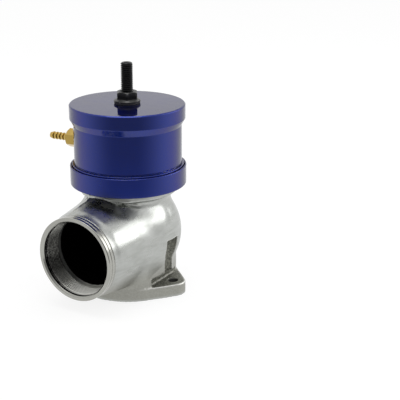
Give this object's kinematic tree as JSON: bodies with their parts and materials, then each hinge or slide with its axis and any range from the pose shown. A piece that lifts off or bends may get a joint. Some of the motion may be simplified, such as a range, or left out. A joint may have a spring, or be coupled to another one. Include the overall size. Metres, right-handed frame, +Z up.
{
  "type": "blow-off valve",
  "caption": "Flange-mounted blow-off valve: cast elbow body with a side outlet, blue diaphragm actuator with a hose barb, and an adjuster stud with its lock nut.",
  "frame": {"origin": "centre of the inlet bore at the inlet flange's bottom face", "axes": "+Z up along the valve stem towards the adjuster stud, -Y along the outlet towards its mouth, +X and -X towards the two flange ears"},
  "size_m": [0.1031, 0.1008, 0.1528],
  "materials": {
    "cast_aluminium": "bead_blasted",
    "blue_anodised": "anodised",
    "black_anodised": "anodised",
    "plain_aluminium": "turned",
    "plain_steel": "turned",
    "black_steel": "black_oxide",
    "spring_steel": "oil_tempered",
    "bronze": "sintered",
    "brass": "turned",
    "rubber": "matte",
    "gasket_fibre": "matte"
  },
  "bodies": {
    "housing": {"body_casting": "cast_aluminium", "neck_gasket": "gasket_fibre", "actuator_base": "blue_anodised", "base_screws": "plain_steel", "guide_bushing": "bronze", "stem_seal": "rubber", "diaphragm": "rubber", "clamp_ring": "plain_steel", "actuator_cap": "blue_anodised", "hose_barb": "brass"},
    "valve": {"valve_head": "black_anodised", "valve_seal": "rubber", "valve_stem": "plain_steel", "head_washer": "plain_steel", "head_nut": "plain_steel", "lower_plate": "plain_aluminium", "upper_plate": "plain_aluminium", "plate_washer": "plain_steel", "stem_nut": "plain_steel", "main_spring": "spring_steel"},
    "perch": {"spring_seat": "plain_steel"},
    "stud": {"adjuster_stud": "black_steel"},
    "washer": {"seal_washer": "rubber"},
    "nut": {"lock_nut": "black_steel"}
  },
  "joints": [
    {"name": "valve_lift", "type": "slide", "parent": "housing", "child": "valve", "axis": [0, 0, 1], "range_m": [0, 0.01], "stiffness_N_per_m": 6400, "springref_m": -0.005, "deforming": ["main_spring", "diaphragm"]},
    {"name": "seat_slide", "type": "slide", "parent": "housing", "child": "perch", "axis": [0, 0, -1], "range_m": [-0.0008, 0.008], "deforming": ["main_spring"]},
    {"name": "stud_turn", "type": "hinge", "parent": "perch", "child": "stud", "pos_m": [0, 0, 0.1115], "axis": [0, 0, -1], "range_deg": [-231, 2305]},
    {"name": "nut_rise", "type": "slide", "parent": "housing", "child": "washer", "axis": [0, 0, 1], "range_m": [0, 0.006]},
    {"name": "nut_turn", "type": "hinge", "parent": "washer", "child": "nut", "pos_m": [0, 0, 0.1272], "axis": [0, 0, 1], "range_deg": [-1, 1729]}
  ],
  "couplings": [
    {"joint": "stud_turn", "follows": "seat_slide", "rad_per_m": 5026.5},
    {"joint": "nut_turn", "follows": "nut_rise", "rad_per_m": 5026.5}
  ]
}
